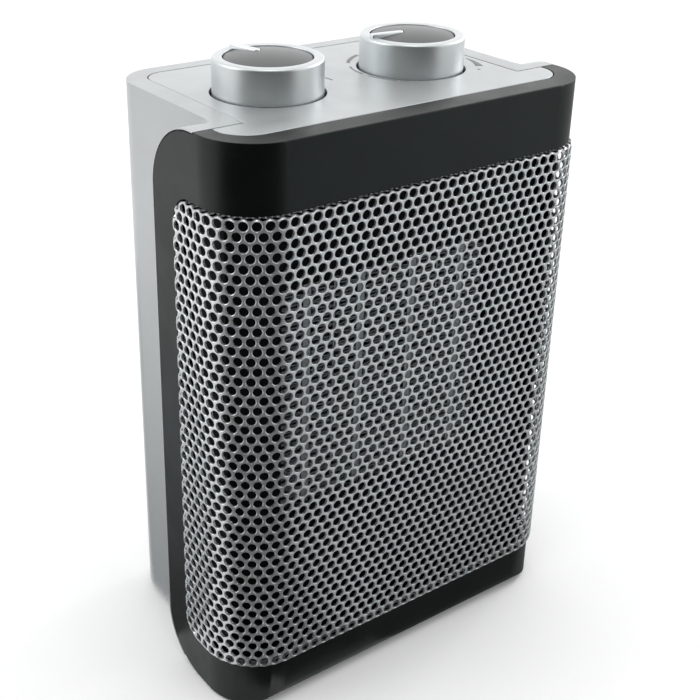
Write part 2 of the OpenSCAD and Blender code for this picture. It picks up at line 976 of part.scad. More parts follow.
module spindle(x, angle) {
  translate([x, knob_d, 0])
    rotate(angle)
      difference() {
        translate([0, 0, spindle_low])
          cylinder(h = web_z + web_t - 0.5 - spindle_low, r = spindle_r);
        translate([spindle_r - 1, -spindle_r, bush_top + 1])
          cube([2, 2 * spindle_r, 40]);
      }
}

// the pointer's outline seen from above, grown by t
module finger_plan(t) {
  translate([finger_in, -finger_w / 2 - t])
    square([finger_out - finger_in, finger_w + 2 * t]);
  translate([finger_in, 0])
    circle(finger_w / 2 + t);
}

module knob(x, angle) {
  translate([x, knob_d, 0])
    rotate(angle)
      difference() {
        union() {
          rotate_extrude()
            translate([knob_r - rim_w, top_z - 5.5])
              tile(rim_w, rim_z - top_z + 5.5, [0, 0.4, 1.2, 0.3]);
          translate([0, 0, web_z])
            cylinder(h = web_t, r = knob_r - rim_w / 2);
          translate([0, 0, web_z - 8])
            cylinder(h = 8 + web_t, r = 5.5);
          translate([0, 0, web_z + web_t / 2])
            linear_extrude(rim_z + finger_rise - web_z - web_t / 2)
              finger_plan(0);
        }
        difference() {
          translate([0, 0, web_z - 8 - past])
            cylinder(h = 8 + web_t + past - 0.4, r = spindle_r + 0.02);
          translate([spindle_r - 0.98, -spindle_r, web_z - 8 - past])
            cube([2, 2 * spindle_r, 20]);
        }
      }
}

// domed cap that fills the knob's rim, with a slot for the pointer
module knob_cap(x, angle) {
  edge_z = rim_z - dome_drop;
  rise = dome_rise + dome_drop;
  ball_r = (dome_r * dome_r + rise * rise) / (2 * rise);
  translate([x, knob_d, 0])
    rotate(angle)
      difference() {
        intersection() {
          translate([0, 0, web_z + web_t])
            cylinder(h = 10, r = dome_r);
          translate([0, 0, edge_z + rise - ball_r])
            sphere(ball_r, $fn = 180);
        }
        translate([0, 0, web_z])
          linear_extrude(20)
            finger_plan(0.25);
      }
}

module selector_switch() {
  color([0.82, 0.8, 0.74])
  placed() {
    control_body(selector_x, [32, 28, 18]);
    for (i = [-2:2])
      block(selector_x + i * 5.5, knob_d - 3, bracket_z - 18 - 7, [0.8, 6, 8]);
  }
}

module selector_shaft() {
  color([0.75, 0.76, 0.78])
  placed()
    spindle(selector_x, selector_angle);
}

module selector_knob() {
  color([0.8, 0.81, 0.82])
  placed()
    knob(selector_x, selector_angle);
}

module selector_cap() {
  color([0.55, 0.57, 0.58])
  placed()
    knob_cap(selector_x, selector_angle);
}

module thermostat_body() {
  color([0.85, 0.83, 0.78])
  placed()
    control_body(thermostat_x, [30, 16, 13]);
}

module thermostat_blades() {
  color([0.75, 0.5, 0.3])
  placed()
    for (z = [203.5, 207.5])
      block(thermostat_x, knob_d + 8, z, [8, 22, 0.6]);
}

module thermostat_shaft() {
  color([0.75, 0.76, 0.78])
  placed()
    spindle(thermostat_x, thermostat_angle);
}

module thermostat_knob() {
  color([0.8, 0.81, 0.82])
  placed()
    knob(thermostat_x, thermostat_angle);
}

module thermostat_cap() {
  color([0.55, 0.57, 0.58])
  placed()
    knob_cap(thermostat_x, thermostat_angle);
}

// ---------------------------------------------------------------- base fittings

module terminal_block() {
  color([0.86, 0.85, 0.8])
  placed()
    difference() {
      block(terminal_x, tip_d - 9, base_top + pillar_h, [34, 18, 13]);
      for (i = [-1:1]) {
        for (d = [-4.5, 4.5])
          rod_z(terminal_x + i * terminal_pitch, tip_d + d, base_top + 11, 1.8, 20);
        rod_y(terminal_x + i * terminal_pitch, tip_d - 10, base_top + 10, 1.6, 20);
      }
    }
}

module tip_switch() {
  color([0.15, 0.15, 0.17])
  placed() {
    block(tip_x, tip_d - 3.5, guide_z + guide_t, [20.4, 7, 11]);
    for (x = [-6, 0, 6])
      block(tip_x + x, tip_d - 1.6, guide_z + guide_t + 10.5, [0.6, 3.2, 6]);
  }
}

module tip_plunger() {
  color([0.8, 0.8, 0.78])
  placed() {
    rod_z(tip_x, tip_d, 0.05, plunger_r, collar_z);
    rod_z(tip_x, tip_d, collar_z, collar_r, collar_t);
    rod_z(tip_x, tip_d, collar_z, stem_r, guide_z + guide_t - collar_z - 0.3);
  }
}

// points of one ring of the spring's wire, at angle a along the coil
function coil_ring(a, coil_r, wire_r, low, rise) =
  [for (k = [0:5])
    let (c = coil_r + wire_r * cos(k * 60))
      [c * cos(a), c * sin(a), low + rise * a / 360 + wire_r * sin(k * 60)]];

// closed tube through rings of points
module sweep(points, rings, sides) {
  walls = [for (i = [0:rings - 1]) for (k = [0:sides - 1])
    [i * sides + k, i * sides + (k + 1) % sides, (i + 1) * sides + (k + 1) % sides, (i + 1) * sides + k]];
  start = [for (k = [sides - 1:-1:0]) k];
  end = [for (k = [0:sides - 1]) rings * sides + k];
  polyhedron(points, concat([start], walls, [end]));
}

module coil(coil_r, wire_r, low, high, turns) {
  rings = turns * 12;
  rise = (high - low - 2 * wire_r) / turns;
  sweep([for (i = [0:rings]) each coil_ring(i * 30, coil_r, wire_r, low + wire_r, rise)], rings, 6);
}

module tip_spring() {
  color([0.78, 0.79, 0.8])
  placed()
    translate([tip_x, tip_d, 0])
      coil(3.4, 0.4, collar_z + collar_t + 0.05, guide_z - 0.05, 5);
}

// point at fraction t between points i and i + 1 of a smooth curve through p
function between(p, i, t) =
  let (
    a = p[max(i - 1, 0)],
    b = p[i],
    c = p[i + 1],
    e = p[min(i + 2, len(p) - 1)]
  )
  b + t * (c - a + t * (2 * a - 5 * b + 4 * c - e + t * (3 * b - a - 3 * c + e))) / 2;

function curve(p) =
  concat([for (i = [0:len(p) - 2]) for (k = [0:wire_steps - 1]) between(p, i, k / wire_steps)], [p[len(p) - 1]]);

function wire_ring(center, way) =
  let (
    side = cross(way, wire_side) / norm(cross(way, wire_side)),
    up = cross(side, way) / norm(way)
  )
  [for (k = [0:wire_sides - 1])
    center + wire_r * (cos(k * 360 / wire_sides) * side + sin(k * 360 / wire_sides) * up)];

module wire(p) {
  line = curve(p);
  n = len(line) - 1;
  sweep([for (i = [0:n]) each wire_ring(line[i], line[min(i + 1, n)] - line[max(i - 1, 0)])], n, wire_sides);
}

module internal_wiring() {
  color([0.5, 0.12, 0.08])
  placed()
    for (route = wire_routes)
      wire(route);
}

// ---------------------------------------------------------------- fasteners

module shell_screws() {
  color([0.3, 0.3, 0.3])
  placed()
    for (p = screw_posts)
      translate([p[0], head_d, p[1]])
        rotate([-90, 0, 0])
          translate([0, 0, -44])
            screw(44);
}

module base_screws() {
  color([0.3, 0.3, 0.3])
  placed()
    for (p = base_posts)
      translate([p[0], p[1], base_z])
        mirror([0, 0, 1])
          translate([0, 0, -10])
            screw(10);
}

module baffle_screws() {
  color([0.3, 0.3, 0.3])
  placed()
    for (p = baffle_posts)
      translate([p[0], baffle_d + baffle_t, p[1]])
        rotate([-90, 0, 0])
          translate([0, 0, -10])
            screw(10);
}

module shroud_screws() {
  color([0.3, 0.3, 0.3])
  placed()
    for (p = duct_posts)
      translate([p[0], duct_end + shroud_t, p[1]])
        rotate([-90, 0, 0])
          translate([0, 0, -10])
            screw(10);
}

module motor_screws() {
  color([0.3, 0.3, 0.3])
  placed()
    for (x = [-motor_screw_x, motor_screw_x])
      translate([x, arm_d, element_z])
        rotate([90, 0, 0])
          translate([0, 0, -3.6])
            screw(3.6);
}

module bracket_screws() {
  color([0.3, 0.3, 0.3])
  placed()
    for (p = bracket_posts)
      translate([p[0], p[1], bracket_z])
        mirror([0, 0, 1])
          translate([0, 0, -8])
            screw(8);
}

module control_screws() {
  color([0.3, 0.3, 0.3])
  placed()
    for (x = knobs_x)
      for (side = [-12, 12])
        translate([x + side, knob_d, bracket_z + bracket_t - 6])
          screw(6);
}

front_frame();
front_grille();
rear_shell();
top_plate();
intake_grille();
base_plate();
front_feet();
rear_feet();
cord_gland();
inner_baffle();
element_holder_top();
element_holder_bottom();
heating_bars();
ceramic_chips();
heating_fins();
fin_dividers();
element_terminals();
thermal_cutout();
thermal_fuse();
fan_shroud();
motor_can();
motor_magnets();
motor_end_cap();
motor_bearings();
fan_impeller();
motor_shaft();
motor_rotor();
control_bracket();
selector_switch();
selector_shaft();
selector_knob();
selector_cap();
thermostat_body();
thermostat_blades();
thermostat_shaft();
thermostat_knob();
thermostat_cap();
terminal_block();
tip_switch();
tip_plunger();
tip_spring();
internal_wiring();
shell_screws();
base_screws();
baffle_screws();
shroud_screws();
motor_screws();
bracket_screws();
control_screws();
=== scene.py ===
"""The looks of a ceramic space heater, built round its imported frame.

Metres. +Z is up, the perforated front looks along -Y, and the floor is z = 0.
"""
import math

import bmesh
import bpy
from mathutils import Matrix, Vector


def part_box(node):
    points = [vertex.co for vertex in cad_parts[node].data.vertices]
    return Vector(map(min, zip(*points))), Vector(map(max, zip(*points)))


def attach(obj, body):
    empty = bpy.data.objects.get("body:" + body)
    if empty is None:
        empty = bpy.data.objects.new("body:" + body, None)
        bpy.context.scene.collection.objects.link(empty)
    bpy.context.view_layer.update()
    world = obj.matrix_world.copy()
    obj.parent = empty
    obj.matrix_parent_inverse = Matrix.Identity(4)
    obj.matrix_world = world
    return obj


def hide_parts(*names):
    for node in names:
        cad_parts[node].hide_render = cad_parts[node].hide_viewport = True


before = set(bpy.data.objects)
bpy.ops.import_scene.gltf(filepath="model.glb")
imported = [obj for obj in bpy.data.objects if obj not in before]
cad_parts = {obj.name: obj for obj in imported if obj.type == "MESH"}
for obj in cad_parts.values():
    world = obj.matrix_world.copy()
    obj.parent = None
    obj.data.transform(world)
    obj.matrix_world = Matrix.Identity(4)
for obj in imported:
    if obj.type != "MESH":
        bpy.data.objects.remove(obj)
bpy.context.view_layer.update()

MM = 0.001

# casing
FRAME_LOW, FRAME_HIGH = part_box("front_frame")
FRONT_Y = FRAME_LOW[1]
SIDE_X = FRAME_HIGH[0]
TOP_Z = FRAME_HIGH[2]
CORNER_R = 21.9 * MM
SHELL_SIDE = 71 * MM

# perforated front
GRILLE_LOW, GRILLE_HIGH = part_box("front_grille")
PROUD = FRONT_Y - GRILLE_LOW[1]
SHEET_T = 0.8 * MM
SHEET_BEND = 1.3 * MM
SHEET_RETURN = 2.4 * MM
WINDOW_R = 9.1 * MM
HOLE_PITCH = 4.556 * MM
ROW_PITCH = 3.818 * MM
FIRST_ROW_Z = 3.8 * MM
HOLE_R = 1.775 * MM
LIP_R = HOLE_R + 0.22 * MM
LIP_DROP = 0.2 * MM
HOLE_SIDES = 12

# heating element
FIN_LOW, FIN_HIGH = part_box("heating_fins")
FIN_FOLDS = 37
FIN_T = 0.32 * MM
BAR_HALF = 1.7 * MM
BAR_PITCH = 25 * MM
DIVIDER_HALF = 0.3 * MM

# knobs
KNOBS = ("selector", "thermostat")
KNOB_BOX = {body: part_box(body + "_knob") for body in KNOBS}
KNOB_X = {body: (low[0] + high[0]) / 2 for body, (low, high) in KNOB_BOX.items()}
KNOB_Y = FRONT_Y + 52 * MM
KNOB_R = 20.3 * MM
KNOB_LOW = TOP_Z - 5.5 * MM
RIM_Z = TOP_Z + 13 * MM
RIM_W = 3.9 * MM
RIM_FILLET = 1.2 * MM
RIM_INNER_FILLET = 0.5 * MM
# floor of the ring, hidden under the cap
RING_FLOOR_TOP = RIM_Z - 5 * MM
RING_FLOOR_LOW = RIM_Z - 7 * MM
RING_BORE = 6 * MM
CAP_R = KNOB_R - RIM_W - 0.4 * MM
CAP_DROP = 0.5 * MM
CAP_RISE = 1.2 * MM
CAP_CHAMFER = 0.3 * MM
CAP_WALL_LOW = RIM_Z - 4.6 * MM
CAP_ROUND = 0.25 * MM
CAP_TIP_R = 0.05 * MM
POINTER_ANGLE = {"selector": math.radians(102), "thermostat": math.radians(173)}
POINTER_W = 2.8 * MM
POINTER_IN = 5.9 * MM
POINTER_OUT = 18.6 * MM
POINTER_LOW = RIM_Z - 4.9 * MM
POINTER_TOP = RIM_Z + 1.4 * MM
POINTER_ROUND = 0.45 * MM
POINTER_GAP = 0.3 * MM
SLOT_LOW = RIM_Z - 6 * MM
SLOT_TOP = RIM_Z + 4 * MM
TURNED_SIDES = 128

# ---------------------------------------------------------------- materials

class Shader:
    """A Principled material and a few short ways to drive it from textures."""

    def __init__(self, name, color, rough, metal=0.0, **sockets):
        self.material = bpy.data.materials.new(name)
        self.material.use_nodes = True
        self.tree = self.material.node_tree
        self.bsdf = self.tree.nodes["Principled BSDF"]
        self.bsdf.inputs["Base Color"].default_value = (*color, 1)
        self.bsdf.inputs["Roughness"].default_value = rough
        self.bsdf.inputs["Metallic"].default_value = metal
        for socket, value in sockets.items():
            self.bsdf.inputs[socket.replace("_", " ")].default_value = value
        self.coords = self.tree.nodes.new("ShaderNodeTexCoord").outputs["Object"]
        self.height = None

    def node(self, kind, **settings):
        node = self.tree.nodes.new("ShaderNode" + kind)
        for key, value in settings.items():
            setattr(node, key, value)
        return node

    def link(self, source, target):
        self.tree.links.new(source, target)

    def math(self, operation, a, b):
        node = self.node("Math", operation=operation)
        for socket, value in zip(node.inputs, (a, b)):
            if isinstance(value, (int, float)):
                socket.default_value = value
            else:
                self.link(value, socket)
        return node.outputs[0]

    def stretched(self, scale):
        mapping = self.node("Mapping")
        mapping.inputs["Scale"].default_value = scale
        self.link(self.coords, mapping.inputs["Vector"])
        return mapping.outputs[0]

    def noise(self, scale, detail=3, stretch=None, rough=0.5):
        noise = self.node("TexNoise")
        noise.inputs["Scale"].default_value = scale
        noise.inputs["Detail"].default_value = detail
        noise.inputs["Roughness"].default_value = rough
        self.link(self.stretched(stretch) if stretch else self.coords, noise.inputs["Vector"])
        return noise.outputs["Fac"]

    def ramp(self, fac, low, high, a=0.3, b=0.7):
        ramp = self.node("MapRange")
        for socket, value in zip(("From Min", "From Max", "To Min", "To Max"), (a, b, low, high)):
            ramp.inputs[socket].default_value = value
        self.link(fac, ramp.inputs["Value"])
        return ramp.outputs[0]

    def tint(self, fac, low, high, a=0.3, b=0.7):
        """Base colour from low to high as fac goes from a to b."""
        ramp = self.node("ValToRGB")
        ramp.color_ramp.elements[0].position = a
        ramp.color_ramp.elements[1].position = b
        ramp.color_ramp.elements[0].color = (*low, 1)
        ramp.color_ramp.elements[1].color = (*high, 1)
        self.link(fac, ramp.inputs["Fac"])
        self.link(ramp.outputs["Color"], self.bsdf.inputs["Base Color"])

    def rough(self, fac, low, high, a=0.3, b=0.7):
        self.link(self.ramp(fac, low, high, a, b), self.bsdf.inputs["Roughness"])

    def bump(self, fac, depth, strength=0.3):
        bump = self.node("Bump")
        bump.inputs["Distance"].default_value = depth
        bump.inputs["Strength"].default_value = strength
        self.link(fac, bump.inputs["Height"])
        if self.height:
            self.link(self.height, bump.inputs["Normal"])
        self.height = bump.outputs["Normal"]
        self.link(self.height, self.bsdf.inputs["Normal"])

    def radius(self, center):
        """Distance from a vertical axis through center."""
        split = self.node("SeparateXYZ")
        self.link(self.coords, split.inputs[0])
        dx = self.math("SUBTRACT", split.outputs[0], center[0])
        dy = self.math("SUBTRACT", split.outputs[1], center[1])
        return self.math("SQRT", self.math("ADD", self.math("MULTIPLY", dx, dx),
                                           self.math("MULTIPLY", dy, dy)), 0)


def shade(value):
    """A neutral, slightly green-blue grey of the given linear value."""
    return (value * 0.955, value, value * 1.012)


def mottled(shader, value, spread, scale=40):
    shader.tint(shader.noise(scale, 4), shade(value * (1 - spread)), shade(value * (1 + spread)))


def silver_paint(name, value, rough):
    s = Shader(name, shade(value), rough, 0.55, IOR=1.5, Coat_Weight=0.25, Coat_Roughness=0.22)
    mottled(s, value, 0.03, 18)
    s.rough(s.noise(90, 4), rough - 0.04, rough + 0.05)
    s.bump(s.noise(2600, 2), 0.00004, 0.12)
    s.bump(s.noise(320, 3), 0.00006, 0.12)
    return s.material


def moulded(name, value, rough, grain=1800, depth=0.00006, gloss=0.5):
    s = Shader(name, shade(value), rough, 0.0, IOR=1.5, Specular_IOR_Level=gloss,
               Specular_Tint=(0.86, 1.0, 0.97, 1.0))
    mottled(s, value, 0.12, 60)
    s.rough(s.noise(55, 4), rough - 0.05, rough + 0.07)
    s.bump(s.noise(grain, 3), depth, 0.25)
    return s.material


def tinted_moulding(name, low, high, rough):
    s = Shader(name, low, rough, 0.0)
    s.tint(s.noise(70, 5), low, high)
    s.rough(s.noise(240, 3), rough - 0.05, rough + 0.06)
    s.bump(s.noise(1500, 3), 0.00005, 0.25)
    return s.material


def sheet_metal(name, value, rough, stretch=(1, 1, 30), warm=(1, 1, 1)):
    s = Shader(name, shade(value), rough, 0.95)
    low = tuple(c * w * 0.9 for c, w in zip(shade(value), warm))
    high = tuple(c * w * 1.06 for c, w in zip(shade(value), warm))
    s.tint(s.noise(60, 4, stretch), low, high)
    s.rough(s.noise(350, 3, stretch), rough - 0.06, rough + 0.08)
    s.bump(s.noise(900, 3, stretch), 0.00003, 0.2)
    return s.material


def grille_metal():
    s = Shader("grille_metal", shade(0.62), 0.3, 0.82, IOR=1.5, Coat_Weight=0.3, Coat_Roughness=0.15)
    s.tint(s.noise(45, 4), shade(0.58), shade(0.66))
    s.rough(s.noise(500, 4), 0.24, 0.36)
    s.bump(s.noise(1500, 3), 0.00005, 0.25)
    return s.material


def spun_metal(name, value, rough, center, metal=0.9, rings=9000):
    """Plated or painted surface turned about a vertical axis: fine rings."""
    s = Shader(name, shade(value), rough, metal)
    radius = s.radius(center)
    line = s.math("SINE", s.math("MULTIPLY", radius, rings), 0)
    grain = s.noise(3000, 2)
    mixed = s.math("ADD", s.math("MULTIPLY", line, 0.3), grain)
    s.tint(s.noise(120, 3), shade(value * 0.985), shade(value * 1.015))
    s.rough(grain, rough - 0.03, rough + 0.04)
    s.bump(mixed, 0.000006, 0.1)
    return s.material


def wound_copper():
    s = Shader("winding_copper", (0.6, 0.3, 0.14), 0.35, 0.8)
    wave = s.node("TexWave", bands_direction="Y")
    wave.inputs["Scale"].default_value = 900
    s.link(s.coords, wave.inputs["Vector"])
    # The colour follows the same waves as the bump, so the copper is darker in the grooves between the
    # turns: painted shade.
    s.tint(wave.outputs["Fac"], (0.34, 0.15, 0.07), (0.72, 0.38, 0.18))
    s.bump(wave.outputs["Fac"], 0.0001, 0.5)
    return s.material


def printed_ink():
    s = Shader("printed_ink", shade(0.2), 0.55)
    mottled(s, 0.2, 0.12, 300)
    s.bump(s.noise(1800, 2), 0.00002, 0.2)
    return s.material


def studio_floor():
    s = Shader("studio_floor", (0.93, 0.93, 0.93), 0.6)
    s.tint(s.noise(1.5, 2), (0.92, 0.92, 0.92), (0.94, 0.94, 0.94))
    return s.material


BLACK = moulded("frame_black", 0.003, 0.36, gloss=0.32)
SILVER = silver_paint("shell_silver", 0.46, 0.38)
PLATE = silver_paint("plate_silver", 0.5, 0.38)
GRILLE = grille_metal()
DARK = moulded("dark_plastic", 0.012, 0.5, 1400, 0.0001)
RUBBER = moulded("foot_rubber", 0.016, 0.75, 1100, 0.0001)
BAFFLE = moulded("baffle_black", 0.002, 0.6, 1200, 0.00005, 0.15)
HOLDER = tinted_moulding("holder_brown", (0.012, 0.009, 0.007), (0.02, 0.015, 0.011), 0.55)
ELEMENT = sheet_metal("element_aluminium", 0.42, 0.4)
CERAMIC = tinted_moulding("fired_ceramic", (0.16, 0.14, 0.12), (0.24, 0.21, 0.18), 0.7)
BRASS = sheet_metal("stamped_brass", 0.62, 0.3, warm=(1.1, 0.86, 0.42))
BRONZE = sheet_metal("sintered_bronze", 0.42, 0.5, warm=(1.15, 0.8, 0.45))
ZINC = sheet_metal("zinc_plate", 0.58, 0.32)
CREAM = tinted_moulding("cream_thermoset", (0.62, 0.59, 0.5), (0.7, 0.67, 0.58), 0.45)
FAN_GREY = moulded("fan_grey", 0.035, 0.4)
NATURAL = tinted_moulding("natural_moulding", (0.66, 0.65, 0.6), (0.74, 0.73, 0.68), 0.4)
WIRE = tinted_moulding("wire_silicone", (0.36, 0.05, 0.035), (0.46, 0.075, 0.05), 0.45)
COPPER = wound_copper()
INK = printed_ink()

NODE_MATERIALS = {
    "front_frame": BLACK, "rear_shell": SILVER, "top_plate": PLATE, "front_grille": GRILLE,
    "intake_grille": DARK, "base_plate": DARK, "front_feet": RUBBER, "rear_feet": RUBBER,
    "cord_gland": RUBBER, "inner_baffle": BAFFLE, "element_holder_top": HOLDER,
    "element_holder_bottom": HOLDER, "heating_bars": ELEMENT, "ceramic_chips": CERAMIC,
    "heating_fins": ELEMENT, "fin_dividers": ELEMENT, "element_terminals": BRASS,
    "thermal_cutout": CREAM, "thermal_fuse": BRASS, "fan_shroud": DARK, "motor_can": ZINC,
    "motor_magnets": CERAMIC, "motor_end_cap": DARK, "motor_bearings": BRONZE,
    "fan_impeller": FAN_GREY, "motor_shaft": ZINC, "motor_rotor": COPPER,
    "control_bracket": ZINC, "selector_switch": CREAM, "selector_shaft": ZINC,
    "thermostat_body": CREAM, "thermostat_blades": BRONZE, "thermostat_shaft": ZINC,
    "terminal_block": CREAM, "tip_switch": DARK, "tip_plunger": NATURAL, "tip_spring": ZINC,
    "internal_wiring": WIRE,
}


def dress(obj, material):
    obj.data.materials.clear()
    obj.data.materials.append(material)


def dress_nodes():
    for name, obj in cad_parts.items():
        dress(obj, NODE_MATERIALS.get(name, ZINC))


# ---------------------------------------------------------------- mesh helpers

def add_piece(name, mesh, material, body="heater", replaces=()):
    obj = bpy.data.objects.new(name, mesh)
    bpy.context.scene.collection.objects.link(obj)
    dress(obj, material)
    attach(obj, body)
    if replaces:
        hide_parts(*replaces)
    return obj


def mesh_of(name, verts, faces):
    mesh = bpy.data.meshes.new(name)
    mesh.from_pydata([tuple(v) for v in verts], [], faces)
    mesh.update()
    return mesh


def smooth(mesh, angle):
    """Smooth shading, with edges sharper than the angle in degrees kept sharp."""
    mesh.shade_smooth()
    mesh.set_sharp_from_angle(angle=math.radians(angle))


def weigh_normals(obj):
    """Large flat faces keep their own normal, so that only the rounds between them shade softly."""
    weighted = obj.modifiers.new("weigh", "WEIGHTED_NORMAL")
    weighted.keep_sharp = True
    weighted.weight = 80
    apply_modifiers(obj)


def apply_modifiers(obj):
    depsgraph = bpy.context.evaluated_depsgraph_get()
    mesh = bpy.data.meshes.new_from_object(obj.evaluated_get(depsgraph))
    old = obj.data
    obj.modifiers.clear()
    obj.data = mesh
    bpy.data.meshes.remove(old)


def rounded_copy(node, material, edge):
    """A copy of a CAD node with its sharp edges rounded over."""
    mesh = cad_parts[node].data.copy()
    bm = bmesh.new()
    bm.from_mesh(mesh)
    bmesh.ops.remove_doubles(bm, verts=bm.verts, dist=0.002 * MM)
    bmesh.ops.dissolve_limit(bm, angle_limit=math.radians(0.4), verts=bm.verts, edges=bm.edges)
    bm.to_mesh(mesh)
    bm.free()
    piece = add_piece(node + "_skin", mesh, material, "heater", [node])
    bevel = piece.modifiers.new("round", "BEVEL")
    bevel.width = edge
    bevel.segments = 3
    bevel.limit_method = "ANGLE"
    bevel.angle_limit = math.radians(40)
    bevel.miter_outer = "MITER_ARC"
    apply_modifiers(piece)
    smooth(piece.data, 32)
    weigh_normals(piece)
    return piece


def lathe(profile, center):
    """Vertices and faces of a profile of (radius, height) turned about a vertical axis."""
    verts = []
    for i in range(TURNED_SIDES):
        a = 2 * math.pi * i / TURNED_SIDES
        verts += [(center[0] + r * math.cos(a), center[1] + r * math.sin(a), z) for r, z in profile]
    n = len(profile)
    faces = []
    for i in range(TURNED_SIDES):
        j = (i + 1) % TURNED_SIDES
        faces += [(i * n + k, j * n + k, j * n + k + 1, i * n + k + 1) for k in range(n - 1)]
    return verts, faces


def arc(cx, cz, r, start, end, steps):
    """Points of (radius, height) on an arc, angles in degrees."""
    angles = [math.radians(start + (end - start) * i / steps) for i in range(steps + 1)]
    return [(cx + r * math.cos(a), cz + r * math.sin(a)) for a in angles]


# ---------------------------------------------------------------- perforated front

HALF_FLAT = SIDE_X - CORNER_R
SHEET_R = CORNER_R + PROUD
CORNER_Y = FRONT_Y + CORNER_R
ARC_LENGTH = SHEET_R * math.pi / 2
HALF_WRAP = HALF_FLAT + ARC_LENGTH + (GRILLE_HIGH[1] - CORNER_Y)
MIDDLE_Z = (GRILLE_LOW[2] + GRILLE_HIGH[2]) / 2
HALF_H = (GRILLE_HIGH[2] - GRILLE_LOW[2]) / 2


def wrap(u):
    """Point and outward normal of the bent sheet at arc length u from its middle."""
    side = 1 if u >= 0 else -1
    u = abs(u)
    if u <= HALF_FLAT:
        return Vector((side * u, FRONT_Y - PROUD, 0)), Vector((0, -1, 0))
    angle = min((u - HALF_FLAT) / SHEET_R, math.pi / 2)
    normal = Vector((side * math.sin(angle), -math.cos(angle), 0))
    point = Vector((side * HALF_FLAT, CORNER_Y, 0)) + normal * SHEET_R
    point.y += max(u - HALF_FLAT - ARC_LENGTH, 0)
    return point, normal


def past_bend(u, z):
    """How far a flat point lies past the line where the sheet's edge starts to bend, and which way."""
    r = WINDOW_R - SHEET_BEND
    q = Vector((abs(u) - (HALF_WRAP - SHEET_BEND - r), abs(z - MIDDLE_Z) - (HALF_H - SHEET_BEND - r)))
    if q.x > 0 and q.y > 0:
        way = q.normalized()
        s = q.length - r
    elif q.x > q.y:
        way = Vector((1, 0))
        s = q.x - r
    else:
        way = Vector((0, 1))
        s = q.y - r
    return s, Vector((math.copysign(way.x, u), math.copysign(way.y, z - MIDDLE_Z)))


def bend_sheet(co):
    """Flat sheet (u, height behind the face, z) to its place on the heater."""
    u, inward, z = co.x, co.y, co.z
    s, way = past_bend(u, z)
    if s > 0:
        angle = min(s / SHEET_BEND, math.pi / 2)
        inner = SHEET_BEND - inward
        out = inner * math.sin(angle) - s
        inward = SHEET_BEND - inner * math.cos(angle) + max(s - SHEET_BEND * math.pi / 2, 0)
        u += way.x * out
        z += way.y * out
    point, normal = wrap(u)
    return Vector((point.x, point.y, z)) - normal * inward


def cell_outline():
    """Corners of one hole's share of the sheet, the six-sided cell round it."""
    half = HOLE_PITCH / 2
    tall = (half ** 2 + ROW_PITCH ** 2) / (2 * ROW_PITCH)
    low = ROW_PITCH - tall
    return [(0, tall), (-half, low), (-half, -low), (0, -tall), (half, -low), (half, low)]


def perforated_cells():
    """Every cell of the flat sheet: front, rolled hole edge, hole wall and back."""
    outline = cell_outline()
    turn = [math.radians(90 + 360 * i / HOLE_SIDES) for i in range(HOLE_SIDES)]
    rings = [(LIP_R, 0), (HOLE_R, LIP_DROP), (HOLE_R, SHEET_T)]
    cell = [(x, 0, z) for x, z in outline]
    for r, d in rings:
        cell += [(r * math.cos(a), d, r * math.sin(a)) for a in turn]
    cell += [(x, SHEET_T, z) for x, z in outline]
    first, last = 6, 6 + 2 * HOLE_SIDES
    back = 6 + 3 * HOLE_SIDES
    faces = []
    for i in range(6):
        j = (i + 1) % 6
        a, b, c = 2 * i, 2 * i + 1, (2 * i + 2) % HOLE_SIDES
        faces.append((i, first + a, first + b))
        faces.append((i, first + b, j))
        faces.append((j, first + b, first + c))
        faces.append((back + i, last + b, last + a))
        faces.append((back + i, back + j, last + b))
        faces.append((back + j, last + c, last + b))
    for ring in range(2):
        start = first + ring * HOLE_SIDES
        for i in range(HOLE_SIDES):
            j = (i + 1) % HOLE_SIDES
            faces.append((start + i, start + HOLE_SIDES + i, start + HOLE_SIDES + j, start + j))
    return cell, faces


def sheet_limits():
    """Straight cuts that trim the flat sheet to its rounded outline, as (point, normal)."""
    grow = SHEET_RETURN + SHEET_BEND * (math.pi / 2 - 1)
    half_u = HALF_WRAP + grow
    half_z = HALF_H + grow
    r = WINDOW_R + grow
    cuts = []
    steps = 6
    for su in (-1, 1):
        cuts.append((Vector((su * half_u, 0, MIDDLE_Z)), Vector((su, 0, 0))))
        cuts.append((Vector((0, 0, MIDDLE_Z + su * half_z)), Vector((0, 0, su))))
        for sz in (-1, 1):
            for i in range(1, steps):
                a = math.pi / 2 * i / steps
                normal = Vector((su * math.cos(a), 0, sz * math.sin(a)))
                center = Vector((su * (half_u - r), 0, MIDDLE_Z + sz * (half_z - r)))
                cuts.append((center + normal * r, normal))
    return cuts


